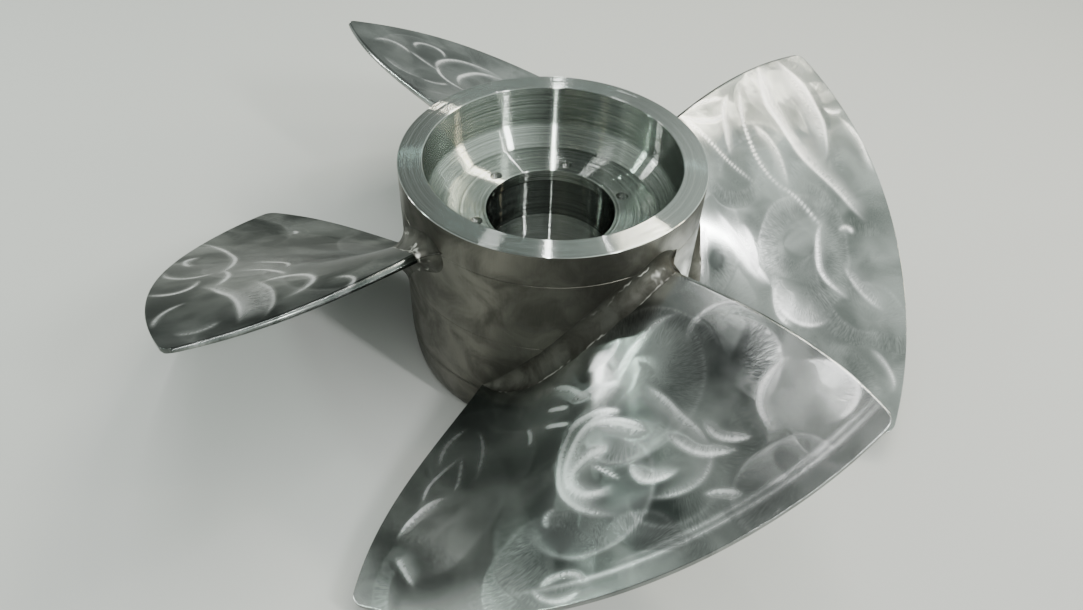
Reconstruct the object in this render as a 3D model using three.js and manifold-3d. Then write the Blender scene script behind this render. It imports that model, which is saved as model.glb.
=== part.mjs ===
// Fixed-blade axial-flow turbine runner, in millimetres, +Z up along the shaft axis.
// The origin is the centre of the hub's lower face. Depths are measured down from the rim.

import * as THREE from 'three';
import { mergeVertices } from 'three/addons/utils/BufferGeometryUtils.js';
import Module from 'manifold-3d';

const wasm = await Module();
wasm.setup();

// Hub
const HUB_RADIUS = 200;
const HUB_HEIGHT = 320;
const HUB_SEGMENTS = 72;
const CORNER_MERGE = 1e-4;
const EDGE_CHAMFER = 1.5;
const SEAM = 0.3;
const UPPER_LINE_DEPTH = 46;
const MIDDLE_LINE_DEPTH = 153;
const LOWER_LINE_DEPTH = 254;
const NOSE_FACE_RADIUS = 190;
const NOSE_ARC_STEPS = 6;

// Recess in the top of the hub, and the bore below it
const RECESS_RADIUS = 168;
const RECESS_WALL_DEPTH = 60;
const RECESS_DEPTH = 86;
const FLOOR_RADIUS = 146;
const SPIGOT_WALL = 14;
const FLANGE_THICKNESS = 32;
const LIP_RADIUS = 88;
const LIP_HEIGHT = 17;
const SLEEVE_BORE_RADIUS = 91;
const SLEEVE_WALL = 20;

// Tapped holes in the recess floor
const BOLT_COUNT = 6;
const BOLT_CIRCLE_RADIUS = 104.5;
const BOLT_FIRST_AZIMUTH = 19.4;
const BOLT_HOLE_RADIUS = 7;
const BOLT_HOLE_DEPTH = 26;
const BOLT_HOLE_SIDES = 16;

// Blades. Lag is the angle behind the leading tip corner, clockwise seen from above. The leading
// line is the centre of the round nose.
const BLADE_COUNT = 4;
const FIRST_BLADE_AZIMUTH = 41.2;
const TIP_RADIUS = 520;
const ROOT_OVERRUN = 4;
const CHORD_STEP = 0.001;
const LEADING_LAG = { root: -1.2, slope: -10.5, curve: 11.5 };
const TRAILING_LAG = { root: 64.8, slope: 13.3, curve: -13.8 };
const LEADING_DEPTH = { tip: 25, rootDrop: 32, power: 1.5 };
const TRAILING_DEPTH = { root: 250, slope: 80, curve: -45 };
const CAMBER_SAG = { root: 6, tip: 3 };
const CAMBER_SWING = { root: 14, tip: 5.5 };
const NOSE_HALF_THICKNESS = { root: 6.5, tip: 3.2 };
const TRAILING_HALF_THICKNESS = { root: 3, tip: 2 };
const MID_BULGE = { root: 4, tip: 1.2 };
const LEADING_CORNER = 8;
const TRAILING_CORNER = 12;
const CHORD_STATIONS = [1, 0.994, 0.98, 0.94, 0.88, 0.8, 0.7, 0.6, 0.5, 0.4, 0.3, 0.2, 0.12, 0.06, 0.02, 0];
const NOSE_ANGLES = [60, 30, 0, -30, -60];
const SPAN_STATIONS = [0, 0.086, 0.17, 0.28, 0.4, 0.52, 0.64, 0.76, 0.87, 0.95, 1];

// Ground weld fillets at the blade roots
const FILLET_RADIUS = 24;
const FILLET_GAP = 0.4;
const FILLET_ARC_STEPS = 5;
const WELD_SPLIT_ANGLE = 1.5;

const STEEL = {
  turned: { color: 0xb4b8b2, roughness: 0.28, metalness: 1 },
  outside: { color: 0x8b8b85, roughness: 0.38, metalness: 1 },
  bore: { color: 0x9b9f9a, roughness: 0.3, metalness: 1 },
  ground: { color: 0xa7ada7, roughness: 0.32, metalness: 1 },
  weld: { color: 0x97968f, roughness: 0.35, metalness: 1 },
};

const radians = THREE.MathUtils.degToRad;
const lerp = THREE.MathUtils.lerp;
const rimDepth = (depth) => HUB_HEIGHT - depth;

function namedMesh(name, geometry, finish) {
  const mesh = new THREE.Mesh(geometry, new THREE.MeshStandardMaterial(finish));
  mesh.name = name;
  return mesh;
}

// A ring turned about the shaft axis. The profile is a closed loop of [radius, z] corners.
function turnedRing(corners) {
  const loop = [...corners, corners[0]].map(([radius, z]) => new THREE.Vector2(radius, z));
  const geometry = new THREE.LatheGeometry(loop, HUB_SEGMENTS);
  geometry.rotateX(Math.PI / 2);
  return facingOut(geometry);
}

// Signed volume of a closed triangle mesh, positive when its faces point out.
function signedVolume(geometry) {
  const { position } = geometry.attributes;
  const corners = [0, 1, 2].map(() => new THREE.Vector3());
  let volume = 0;
  for (let i = 0; i < geometry.index.count; i += 3) {
    corners.forEach((corner, k) => corner.fromBufferAttribute(position, geometry.index.getX(i + k)));
    volume += corners[0].dot(corners[1].clone().cross(corners[2])) / 6;
  }
  return volume;
}

// Merges shared corners and turns every face outwards.
function facingOut(geometry) {
  geometry.deleteAttribute('normal');
  geometry.deleteAttribute('uv');
  const merged = mergeVertices(geometry, CORNER_MERGE);
  if (signedVolume(merged) < 0) {
    const flipped = Array.from(merged.index.array).reverse();
    merged.setIndex(flipped);
  }
  merged.computeVertexNormals();
  return merged;
}

function toSolid(geometry) {
  const vertProperties = new Float32Array(geometry.attributes.position.array);
  const triVerts = new Uint32Array(geometry.index.array);
  return new wasm.Manifold(new wasm.Mesh({ numProp: 3, vertProperties, triVerts }));
}

function fromSolid(solid) {
  const { vertProperties, triVerts } = solid.getMesh();
  const geometry = new THREE.BufferGeometry();
  geometry.setAttribute('position', new THREE.BufferAttribute(vertProperties, 3));
  geometry.setIndex(new THREE.BufferAttribute(triVerts, 1));
  geometry.computeVertexNormals();
  return geometry;
}

// Cuts off what reaches inside the hub, along the hub's own facets with a seam's gap.
function trimmedAtHub(geometry) {
  const hub = new THREE.CylinderGeometry(HUB_RADIUS + SEAM, HUB_RADIUS + SEAM, 2 * HUB_HEIGHT, HUB_SEGMENTS);
  hub.rotateX(Math.PI / 2);
  return fromSolid(toSolid(geometry).subtract(toSolid(facingOut(hub))));
}

// Skin over closed rings of points, with the same two end caps, given as triangles of ring places.
function loft(rings, capTriangles) {
  const size = rings[0].length;
  const last = (rings.length - 1) * size;
  const indices = [];
  for (let row = 0; row + 1 < rings.length; row += 1) {
    for (let place = 0; place < size; place += 1) {
      const a = row * size + place;
      const b = row * size + ((place + 1) % size);
      indices.push(a, b, b + size, a, b + size, a + size);
    }
  }
  capTriangles.forEach(([a, b, c]) => indices.push(c, b, a, last + a, last + b, last + c));
  const geometry = new THREE.BufferGeometry().setFromPoints(rings.flat());
  geometry.setIndex(indices);
  return facingOut(geometry);
}

// Rim with the recess wall and cone on its inside, registered in the upper band by a spigot.
function hubRimRing() {
  const spigotRadius = RECESS_RADIUS + SPIGOT_WALL;
  const floor = rimDepth(RECESS_DEPTH);
  const line = rimDepth(UPPER_LINE_DEPTH) + SEAM / 2;
  return turnedRing([
    [HUB_RADIUS - EDGE_CHAMFER, HUB_HEIGHT],
    [HUB_RADIUS, HUB_HEIGHT - EDGE_CHAMFER],
    [HUB_RADIUS, line],
    [spigotRadius, line],
    [spigotRadius, floor],
    [FLOOR_RADIUS, floor],
    [RECESS_RADIUS, rimDepth(RECESS_WALL_DEPTH)],
    [RECESS_RADIUS, HUB_HEIGHT - EDGE_CHAMFER],
    [RECESS_RADIUS + EDGE_CHAMFER, HUB_HEIGHT],
  ]);
}

// Recess floor: a disc with the bore lip, the wider bore below it and six blind tapped holes. Its
// edge is stepped down by a seam where the rim ring's spigot stands on it.
function shaftFlange() {
  const floor = rimDepth(RECESS_DEPTH);
  const outside = RECESS_RADIUS + SPIGOT_WALL;
  const disc = turnedRing([
    [LIP_RADIUS, floor],
    [FLOOR_RADIUS - SEAM, floor],
    [FLOOR_RADIUS - SEAM, floor - SEAM],
    [outside, floor - SEAM],
    [outside, floor - FLANGE_THICKNESS],
    [SLEEVE_BORE_RADIUS, floor - FLANGE_THICKNESS],
    [SLEEVE_BORE_RADIUS, floor - LIP_HEIGHT],
    [LIP_RADIUS, floor - LIP_HEIGHT],
  ]);
  let solid = toSolid(disc);
  for (let bolt = 0; bolt < BOLT_COUNT; bolt += 1) {
    const azimuth = radians(BOLT_FIRST_AZIMUTH + (360 * bolt) / BOLT_COUNT);
    const drill = new THREE.CylinderGeometry(
      BOLT_HOLE_RADIUS,
      BOLT_HOLE_RADIUS,
      2 * BOLT_HOLE_DEPTH,
      BOLT_HOLE_SIDES,
    );
    drill.rotateX(Math.PI / 2);
    drill.translate(BOLT_CIRCLE_RADIUS * Math.cos(azimuth), BOLT_CIRCLE_RADIUS * Math.sin(azimuth), floor);
    solid = solid.subtract(toSolid(facingOut(drill)));
  }
  return fromSolid(solid);
}

function boreSleeve() {
  const top = rimDepth(RECESS_DEPTH + FLANGE_THICKNESS) - SEAM;
  const outside = SLEEVE_BORE_RADIUS + SLEEVE_WALL;
  return turnedRing([[SLEEVE_BORE_RADIUS, 0], [outside, 0], [outside, top], [SLEEVE_BORE_RADIUS, top]]);
}

// Outside of the hub between the first two lines, stepped round the spigot and the flange.
function hubUpperBand() {
  const spigotBore = RECESS_RADIUS + SPIGOT_WALL + SEAM;
  const sleeveSeat = SLEEVE_BORE_RADIUS + SLEEVE_WALL + SEAM;
  const step = rimDepth(RECESS_DEPTH + FLANGE_THICKNESS) - SEAM;
  const top = rimDepth(UPPER_LINE_DEPTH) - SEAM / 2;
  const bottom = rimDepth(MIDDLE_LINE_DEPTH) + SEAM / 2;
  return turnedRing([
    [HUB_RADIUS, top],
    [HUB_RADIUS, bottom],
    [sleeveSeat, bottom],
    [sleeveSeat, step],
    [spigotBore, step],
    [spigotBore, top],
  ]);
}

function hubLowerBand() {
  const sleeveSeat = SLEEVE_BORE_RADIUS + SLEEVE_WALL + SEAM;
  const top = rimDepth(MIDDLE_LINE_DEPTH) - SEAM / 2;
  const bottom = rimDepth(LOWER_LINE_DEPTH) + SEAM / 2;
  return turnedRing([[HUB_RADIUS, top], [HUB_RADIUS, bottom], [sleeveSeat, bottom], [sleeveSeat, top]]);
}

// Lower end of the hub, drawn in along a quarter of an ellipse to the flat face it stands on.
function hubNoseRing() {
  const sleeveSeat = SLEEVE_BORE_RADIUS + SLEEVE_WALL + SEAM;
  const top = rimDepth(LOWER_LINE_DEPTH) - SEAM / 2;
  const arc = [];
  for (let step = 0; step <= NOSE_ARC_STEPS; step += 1) {
    const angle = ((Math.PI / 2) * step) / NOSE_ARC_STEPS;
    const radius = NOSE_FACE_RADIUS + (HUB_RADIUS - NOSE_FACE_RADIUS) * Math.cos(angle);
    arc.push([radius, top * (1 - Math.sin(angle))]);
  }
  return turnedRing([...arc, [sleeveSeat, 0], [sleeveSeat, top]]);
}

// Middle surface of a blade: lag angle and height at a share of the chord and a radius.
function middlePoint(chordShare, radius) {
  const span = (radius - HUB_RADIUS) / (TIP_RADIUS - HUB_RADIUS);
  const parabola = ({ root, slope, curve }) => root + slope * span + curve * span * span;
  const lag = lerp(parabola(LEADING_LAG), parabola(TRAILING_LAG), chordShare);
  const leadingDepth = LEADING_DEPTH.tip + LEADING_DEPTH.rootDrop * (1 - span) ** LEADING_DEPTH.power;
  const straight = lerp(leadingDepth, parabola(TRAILING_DEPTH), chordShare);
  const sag = lerp(CAMBER_SAG.root, CAMBER_SAG.tip, span) * Math.sin(Math.PI * chordShare);
  const swing = lerp(CAMBER_SWING.root, CAMBER_SWING.tip, span) * Math.sin(2 * Math.PI * chordShare);
  return { along: radians(lag) * radius, z: rimDepth(straight + sag - swing) };
}

// Half the blade's thickness, growing from the nose to mid chord and thinning to the trailing edge.
function halfThickness(chordPlace, radius) {
  const span = (radius - HUB_RADIUS) / (TIP_RADIUS - HUB_RADIUS);
  const at = ({ root, tip }) => lerp(root, tip, span);
  const taper = lerp(at(NOSE_HALF_THICKNESS), at(TRAILING_HALF_THICKNESS), chordPlace);
  return taper + at(MID_BULGE) * Math.sin(Math.PI * chordPlace);
}

// Outer end of the blade at a chord place, rounded off at both tip corners.
function tipRadiusAt(chordPlace, chord) {
  const corner = (distance, size) => {
    const inside = THREE.MathUtils.clamp(1 - distance / size, 0, 1);
    return size * (1 - Math.sqrt(1 - inside * inside));
  };
  const leading = corner(chordPlace * chord, LEADING_CORNER);
  const trailing = corner((1 - chordPlace) * chord, TRAILING_CORNER);
  return TIP_RADIUS - leading - trailing;
}

// A point of the blade's outline at a radius, or of an outline that lies further out by a margin.
// The angle is 90 on the upper side, -90 on the lower side and between the two round the nose.
function outlinePoint({ chordPlace, angle }, radius, margin, azimuth) {
  const middle = middlePoint(chordPlace, radius);
  const ahead = middlePoint(chordPlace - CHORD_STEP, radius);
  const length = Math.hypot(ahead.along - middle.along, ahead.z - middle.z);
  const forward = { along: (ahead.along - middle.along) / length, z: (ahead.z - middle.z) / length };
  const reach = halfThickness(chordPlace, radius) + margin;
  const out = reach * Math.cos(radians(angle));
  const up = reach * Math.sin(radians(angle));
  const along = middle.along + out * forward.along + up * forward.z;
  const z = middle.z + out * forward.z - up * forward.along;
  const turn = azimuth - along / radius;
  return new THREE.Vector3(radius * Math.cos(turn), radius * Math.sin(turn), z);
}

// Places round the blade's outline: along the upper side to the nose and back along the lower side.
function outlinePlaces() {
  const upper = CHORD_STATIONS.map((chordPlace) => ({ chordPlace, angle: 90 }));
  const nose = NOSE_ANGLES.map((angle) => ({ chordPlace: 0, angle }));
  const lower = [...CHORD_STATIONS].reverse().map((chordPlace) => ({ chordPlace, angle: -90 }));
  return [...upper, ...nose, ...lower];
}

function blade(azimuth) {
  const places = outlinePlaces();
  const rootRadius = HUB_RADIUS - ROOT_OVERRUN;
  const tipChord = middlePoint(1, TIP_RADIUS).along - middlePoint(0, TIP_RADIUS).along;
  const rings = SPAN_STATIONS.map((span) => places.map((place) => {
    const radius = lerp(rootRadius, tipRadiusAt(place.chordPlace, tipChord), span);
    return outlinePoint(place, radius, 0, azimuth);
  }));
  const cap = [];
  for (let near = 0, far = places.length - 1; far - near > 1; near += 1, far -= 1) {
    cap.push([near, near + 1, far]);
    if (far - 1 > near + 1) {
      cap.push([near + 1, far - 1, far]);
    }
  }
  return trimmedAtHub(loft(rings, cap));
}

// Weld fillet along one side of a blade root and round its half of the nose. Its section is a corner
// between blade and hub, closed by a hollow quarter arc.
function rootWeld(azimuth, side) {
  const chord = CHORD_STATIONS.map((chordPlace) => ({ chordPlace, angle: 90 * side }));
  const nose = NOSE_ANGLES.filter((angle) => angle > 0).map((angle) => ({ chordPlace: 0, angle: angle * side }));
  const places = [...chord, ...nose, { chordPlace: 0, angle: WELD_SPLIT_ANGLE * side }];
  const section = [
    [HUB_RADIUS - ROOT_OVERRUN, FILLET_GAP],
    [HUB_RADIUS + FILLET_RADIUS, FILLET_GAP],
  ];
  for (let step = 1; step < FILLET_ARC_STEPS; step += 1) {
    const angle = ((Math.PI / 2) * step) / FILLET_ARC_STEPS;
    section.push([
      HUB_RADIUS + FILLET_RADIUS * (1 - Math.sin(angle)),
      FILLET_RADIUS * (1 - Math.cos(angle)),
    ]);
  }
  section.push([HUB_RADIUS, FILLET_RADIUS], [HUB_RADIUS - ROOT_OVERRUN, FILLET_RADIUS]);
  const rings = places.map((place) => section.map(
    ([radius, margin]) => outlinePoint(place, radius, margin, azimuth),
  ));
  const cap = section.slice(2).map((corner, index) => [0, index + 1, index + 2]);
  return trimmedAtHub(loft(rings, cap));
}

const runner = new THREE.Group();
runner.add(
  namedMesh('hub_rim_ring', hubRimRing(), STEEL.turned),
  namedMesh('shaft_flange', shaftFlange(), STEEL.turned),
  namedMesh('bore_sleeve', boreSleeve(), STEEL.bore),
  namedMesh('hub_upper_band', hubUpperBand(), STEEL.outside),
  namedMesh('hub_lower_band', hubLowerBand(), STEEL.outside),
  namedMesh('hub_nose_ring', hubNoseRing(), STEEL.outside),
);
for (let number = 0; number < BLADE_COUNT; number += 1) {
  const azimuth = radians(FIRST_BLADE_AZIMUTH + (360 * number) / BLADE_COUNT);
  runner.add(
    namedMesh(`blade_${number + 1}`, blade(azimuth), STEEL.ground),
    namedMesh(`root_weld_upper_${number + 1}`, rootWeld(azimuth, 1), STEEL.weld),
    namedMesh(`root_weld_lower_${number + 1}`, rootWeld(azimuth, -1), STEEL.weld),
  );
}

export default runner;
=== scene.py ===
"""Dresses the axial-flow turbine runner: turned hub, swirl-ground blades and ground weld fillets."""

import logging
from collections.abc import Callable
from dataclasses import dataclass
from enum import Enum

import bmesh
import bpy
import numpy as np
from mathutils import Matrix, Vector


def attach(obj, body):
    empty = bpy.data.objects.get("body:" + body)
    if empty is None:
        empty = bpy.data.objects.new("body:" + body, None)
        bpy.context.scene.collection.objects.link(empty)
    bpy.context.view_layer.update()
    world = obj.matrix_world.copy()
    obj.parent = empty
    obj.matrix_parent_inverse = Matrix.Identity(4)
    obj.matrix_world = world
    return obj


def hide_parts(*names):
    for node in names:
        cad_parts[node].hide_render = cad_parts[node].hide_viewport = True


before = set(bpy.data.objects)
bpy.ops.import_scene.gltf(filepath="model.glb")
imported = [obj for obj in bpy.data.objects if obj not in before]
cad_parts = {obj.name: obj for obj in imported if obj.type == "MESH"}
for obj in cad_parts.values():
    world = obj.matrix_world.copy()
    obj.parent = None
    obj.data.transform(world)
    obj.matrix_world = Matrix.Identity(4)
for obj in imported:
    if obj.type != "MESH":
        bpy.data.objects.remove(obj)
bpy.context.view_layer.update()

MM = 0.001
# Points nearer than this merge, and shorter edges go, both in metres.
SEAM_GAP = 2e-6
SHORTEST_EDGE = 1e-7
log = logging.getLogger("runner")
Array = np.ndarray


class Side(Enum):
    """The two faces of a blade."""

    UPPER = 1
    LOWER = -1


class Slot(Enum):
    """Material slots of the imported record."""

    TURNED = "turned_steel"
    BORE = "bore_steel"
    HUB = "hub_steel"
    BLADE = "blade_steel"
    WELD = "weld_steel"


def linear(colour: str) -> tuple[float, float, float, float]:
    """Turns an sRGB hex colour into the linear colour that a shader socket takes.

    Args:
        colour: six hex digits, such as "8b8b85".

    Returns:
        Linear red, green, blue and an alpha of one.
    """
    srgb = np.array([int(colour[i:i + 2], 16) / 255 for i in (0, 2, 4)])
    values = np.where(srgb <= 0.04045, srgb / 12.92, ((srgb + 0.055) / 1.055) ** 2.4)
    return (*(float(v) for v in values), 1.0)


def feed(node: bpy.types.Node, inputs: dict) -> None:
    """Gives a node's inputs their values, or links from the sockets that feed them.

    Args:
        node: the node.
        inputs: for each input, by name or number, a value or a socket.
    """
    for name, value in inputs.items():
        if isinstance(value, bpy.types.NodeSocket):
            node.id_data.links.new(value, node.inputs[name])
        else:
            node.inputs[name].default_value = value


def add(
    tree: bpy.types.NodeTree, kind: str, *values, output: str | None = None, **settings
) -> bpy.types.NodeSocket:
    """Adds a node with its settings and links.

    Args:
        tree: the node tree.
        kind: the node's type without "ShaderNode", such as "Math".
        *values: values or sockets for its inputs in use, in their order.
        output: name of the output that is wanted, or None for the first one in use.
        **settings: the node's own properties, and inputs by name, which start with a capital.

    Returns:
        The output.
    """
    node = tree.nodes.new(f"ShaderNode{kind}")
    for name, value in settings.items():
        if name[0].islower():
            setattr(node, name, value)
    named = {name: value for name, value in settings.items() if name[0].isupper()}
    used = [number for number, socket in enumerate(node.inputs) if socket.enabled]
    feed(node, dict(zip(used, values)) | named)
    return node.outputs[output] if output else next(one for one in node.outputs if one.enabled)


def mesh_object(
    name: str, points: Array, faces: Array, marks: dict[str, Array] | None = None
) -> bpy.types.Object:
    """Makes a smooth mesh object from whole arrays.

    Args:
        name: the object's name.
        points: vertex places in millimetres, of shape (n, 3).
        faces: quads as vertex numbers, of shape (m, 4).
        marks: vertex attributes for the material, of shape (n,) or (n, 3).

    Returns:
        The object, with merged seams and its faces pointing out.
    """
    mesh = bpy.data.meshes.new(name)
    mesh.vertices.add(len(points))
    mesh.vertices.foreach_set("co", (points * MM).astype(np.float32).ravel())
    mesh.loops.add(faces.size)
    mesh.loops.foreach_set("vertex_index", faces.astype(np.int32).ravel())
    mesh.polygons.add(len(faces))
    mesh.polygons.foreach_set("loop_start", np.arange(0, faces.size, 4, dtype=np.int32))
    mesh.update(calc_edges=True)
    for mark, values in (marks or {}).items():
        kind, field_name = ("FLOAT", "value") if values.ndim == 1 else ("FLOAT_VECTOR", "vector")
        layer = mesh.attributes.new(mark, kind, "POINT")
        layer.data.foreach_set(field_name, values.astype(np.float32).ravel())
    work = bmesh.new()
    work.from_mesh(mesh)
    bmesh.ops.remove_doubles(work, verts=work.verts, dist=SEAM_GAP)
    bmesh.ops.dissolve_degenerate(work, edges=work.edges, dist=SHORTEST_EDGE)
    bmesh.ops.recalc_face_normals(work, faces=work.faces)
    work.to_mesh(mesh)
    work.free()
    mesh.polygons.foreach_set("use_smooth", np.ones(len(mesh.polygons), dtype=bool))
    piece = bpy.data.objects.new(name, mesh)
    bpy.context.scene.collection.objects.link(piece)
    return piece


def grid_faces(rows: int, columns: int, wrap_rows: bool = False, wrap_columns: bool = False) -> Array:
    """Quads between the neighbours of a grid of points.

    Args:
        rows: number of rows of points.
        columns: number of points in a row.
        wrap_rows: whether the last row joins the first.
        wrap_columns: whether the last point of a row joins its first.

    Returns:
        Vertex numbers of shape (m, 4).
    """
    i = np.arange(rows if wrap_rows else rows - 1)[:, None]
    j = np.arange(columns if wrap_columns else columns - 1)[None, :]
    below, right = (i + 1) % rows, (j + 1) % columns
    corners = [i * columns + j, i * columns + right, below * columns + right, below * columns + j]
    return np.stack([np.broadcast_to(c, (i.size, j.size)) for c in corners], -1).reshape(-1, 4)


def softened(corners: list[tuple[float, float, float]], steps: int = 6) -> Array:
    """Rounds the corners of a closed outline.

    Each corner becomes an arc that touches both of its sides, with one more point on each side just
    past the arc, which keeps the shading of the flats flat.

    Args:
        corners: places along two axes and the arc's radius, in millimetres.
        steps: stretches in an arc.

    Returns:
        Points of the outline, of shape (n, 2).
    """
    table = np.array(corners, float)
    place, radius = table[:, :2], table[:, 2:]
    back = np.roll(place, 1, axis=0) - place
    on = np.roll(place, -1, axis=0) - place
    back /= np.linalg.norm(back, axis=1, keepdims=True)
    on /= np.linalg.norm(on, axis=1, keepdims=True)
    half = np.arccos(np.clip((back * on).sum(1, keepdims=True), -1, 1)) / 2
    reach = radius / np.tan(half)
    middle = back + on
    middle /= np.linalg.norm(middle, axis=1, keepdims=True)
    centre = place + middle * radius / np.sin(half)
    start, end = place + back * reach, place + on * reach
    share = np.linspace(0, 1, steps + 1)[None, :, None]
    spoke = (start - centre)[:, None] * (1 - share) + (end - centre)[:, None] * share
    spoke *= radius[:, None] / np.maximum(np.linalg.norm(spoke, axis=2, keepdims=True), 1e-9)
    arc = centre[:, None] + spoke
    guard = np.maximum(1.5 * reach, 0.05)
    before, after = place + back * (reach + guard / 2), place + on * (reach + guard / 2)
    return np.concatenate([before[:, None], arc, after[:, None]], axis=1).reshape(-1, 2)


def revolve(profile: Array, segments: int, first_azimuth: float = 0.0) -> Array:
    """Turns a profile about the shaft axis.

    A point (r, z) at azimuth a lies at (r cos a, r sin a, z).

    Args:
        profile: radius and height in millimetres, of shape (n, 2).
        segments: points round a turn.
        first_azimuth: azimuth of the first column, in degrees.

    Returns:
        Places of shape (n, segments, 3).
    """
    azimuth = np.radians(first_azimuth) + np.linspace(0, 2 * np.pi, segments, endpoint=False)
    radius, height = profile[:, :1], profile[:, 1:]
    return np.stack(
        [radius * np.cos(azimuth), radius * np.sin(azimuth), height + 0 * azimuth], axis=-1
    )


def ripple(points: Array, wavelength: float, seed: int, waves: int = 14) -> Array:
    """Smooth unevenness that depends on the place alone.

    It is a sum of plane waves, sin(k.p + phase), whose directions are random and whose lengths lie
    between 0.6 and 1.6 of the given one, divided so that it stays mostly between -1 and 1.

    Args:
        points: places in millimetres, of shape (..., 3).
        wavelength: typical length of a wave in millimetres.
        seed: number that fixes the random draws.
        waves: number of waves in the sum.

    Returns:
        Values of shape (...).
    """
    draw = np.random.default_rng(seed)
    direction = draw.normal(size=(waves, 3))
    direction /= np.linalg.norm(direction, axis=1, keepdims=True)
    wave = direction * (2 * np.pi / (wavelength * draw.uniform(0.6, 1.6, (waves, 1))))
    phase = draw.uniform(0, 2 * np.pi, waves)
    return np.sin(points @ wave.T + phase).sum(-1) / np.sqrt(waves / 2) / 2


def new_material(name: str) -> tuple[bpy.types.Material, bpy.types.NodeTree, bpy.types.Node]:
    """Starts a material that holds one metallic shader.

    Args:
        name: the material's name.

    Returns:
        The material, its node tree and its Principled shader.
    """
    material = bpy.data.materials.new(name)
    material.use_nodes = True
    tree = material.node_tree
    shader = tree.nodes["Principled BSDF"]
    feed(shader, {"Metallic": 1.0})
    return material, tree, shader


@dataclass(frozen=True)
class TurnedSteel:
    """Stainless steel faced and bored on a lathe: bright, with grooves round the shaft axis.

    The flanks of the grooves lean both ways across them, so a lamp shows as a streak that runs out
    from the axis on a flat and up and down on a wall.

    Args:
        name: the material's name.
        pale: colour of the cut metal.
        dull: colour in the rougher turns.
        roughness: roughness along the grooves.
        groove: spacing of the turns in millimetres, coarser than the real feed of 0.2 mm so that
            it shows.
        lean: greatest slope of a groove's flank.
        band: width of the slow bands of paler and duller turns, in grooves.
    """

    name: str
    pale: str
    dull: str
    roughness: float
    groove: float = 0.3
    lean: float = 0.3
    band: float = 12.0

    def material(self) -> bpy.types.Material:
        """Builds the material.

        Returns:
            The material.
        """
        material, tree, shader = new_material(self.name)
        place = add(tree, "TexCoord", output="Object")
        east, north, height = add(tree, "SeparateXYZ", place).node.outputs
        flat = add(tree, "CombineXYZ", east, north)
        radius = add(tree, "VectorMath", flat, operation="LENGTH")
        lathe = add(tree, "Math", radius, height, operation="ADD")
        grooves, bands = (
            add(
                tree, "TexNoise", noise_dimensions="1D",
                W=lathe, Scale=1 / (spacing * MM), Detail=1.0, Roughness=0.6,
            )
            for spacing in (self.groove, self.band * self.groove)
        )
        tone = add(tree, "Math", bands, 0.4, operation="MULTIPLY")
        tone = add(tree, "Math", grooves, 0.6, tone, operation="MULTIPLY_ADD")
        contrast = add(tree, "MapRange", tone, 0.3, 0.7, interpolation_type="SMOOTHSTEP")
        colour = add(tree, "Mix", contrast, linear(self.dull), linear(self.pale), data_type="RGBA")
        normal = add(tree, "NewGeometry", output="Normal")
        around = add(tree, "VectorMath", (0.0, 0.0, 1.0), flat, operation="CROSS_PRODUCT")
        around = add(tree, "VectorMath", around, operation="NORMALIZE")
        across = add(tree, "VectorMath", normal, around, operation="CROSS_PRODUCT")
        slope = add(tree, "Math", grooves, 0.5, operation="SUBTRACT")
        slope = add(tree, "Math", slope, 4 * self.lean, operation="MULTIPLY")
        tilt = add(tree, "VectorMath", across, slope, operation="SCALE")
        leaning = add(tree, "VectorMath", normal, tilt, operation="ADD")
        feed(shader, {
            "Base Color": colour,
            "Roughness": self.roughness,
            "Normal": add(tree, "VectorMath", leaning, operation="NORMALIZE"),
            "Tangent": around,
            "Anisotropic": 1.0,
            "Anisotropic Rotation": 0.25,
        })
        return material


@dataclass(frozen=True)
class CloudySteel:
    """Forged stainless steel, ground by hand over old turning.

    It is darker than fresh steel, with soft clouds of grey brown and faint sanding marks. On the hub's
    outside the darkness is a painted dark reflection of dark surroundings.

    Args:
        name: the material's name.
        pale: colour of the cleaner clouds.
        dull: colour of the darker clouds.
        roughness: mean roughness.
        cloud: size of the clouds in millimetres.
        mark: width of a sanding mark in millimetres, drawn coarser than the real grit so it shows.
        crest_highlight: colour of the crests that the disc has polished, where the mesh has a "crest"
            attribute, pale as a painted highlight.
        slant: turns in radians that lay the sanding marks askew.
        stretch: length of a sanding mark in its widths.
        relief: depth of the marks in millimetres. The clouds are 12 times as deep.
    """

    name: str
    pale: str
    dull: str
    roughness: float
    cloud: float = 70.0
    mark: float = 1.5
    crest_highlight: str = "d4d3cc"
    slant: tuple[float, float, float] = (0.5, 0.7, 0.3)
    stretch: float = 12.5
    relief: float = 0.02

    def material(self) -> bpy.types.Material:
        """Builds the material.

        Returns:
            The material.
        """
        material, tree, shader = new_material(self.name)
        place = add(tree, "TexCoord", output="Object")
        clouds = add(
            tree, "TexNoise", Vector=place, Scale=1 / (self.cloud * MM), Detail=4.0, Roughness=0.55,
            Distortion=0.6,
        )
        slanted = add(
            tree, "Mapping", Vector=place, Rotation=self.slant, Scale=(1.0, 1.0, 1 / self.stretch)
        )
        marks = add(
            tree, "TexNoise", Vector=slanted, Scale=1 / (self.mark * MM), Detail=2.0, Roughness=0.6
        )
        contrast = add(tree, "MapRange", clouds, 0.32, 0.68, interpolation_type="SMOOTHSTEP")
        crest = add(tree, "Attribute", attribute_name="crest", output="Fac")
        tone = add(tree, "Math", contrast, 0.8, operation="MULTIPLY")
        tone = add(tree, "Math", marks, 0.25, tone, operation="MULTIPLY_ADD")
        colour = add(tree, "Mix", tone, linear(self.dull), linear(self.pale), data_type="RGBA")
        height = add(tree, "Math", clouds, 12.0, marks, operation="MULTIPLY_ADD")
        # The crests of the weld's ridges are painted pale as highlights.
        feed(shader, {
            "Base Color": add(tree, "Mix", crest, colour, linear(self.crest_highlight), data_type="RGBA"),
            "Roughness": add(tree, "Mix", contrast, self.roughness * 1.2, self.roughness * 0.85),
            "Normal": add(tree, "Bump", Strength=1.0, Distance=self.relief * MM, Height=height),
        })
        return material


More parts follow.
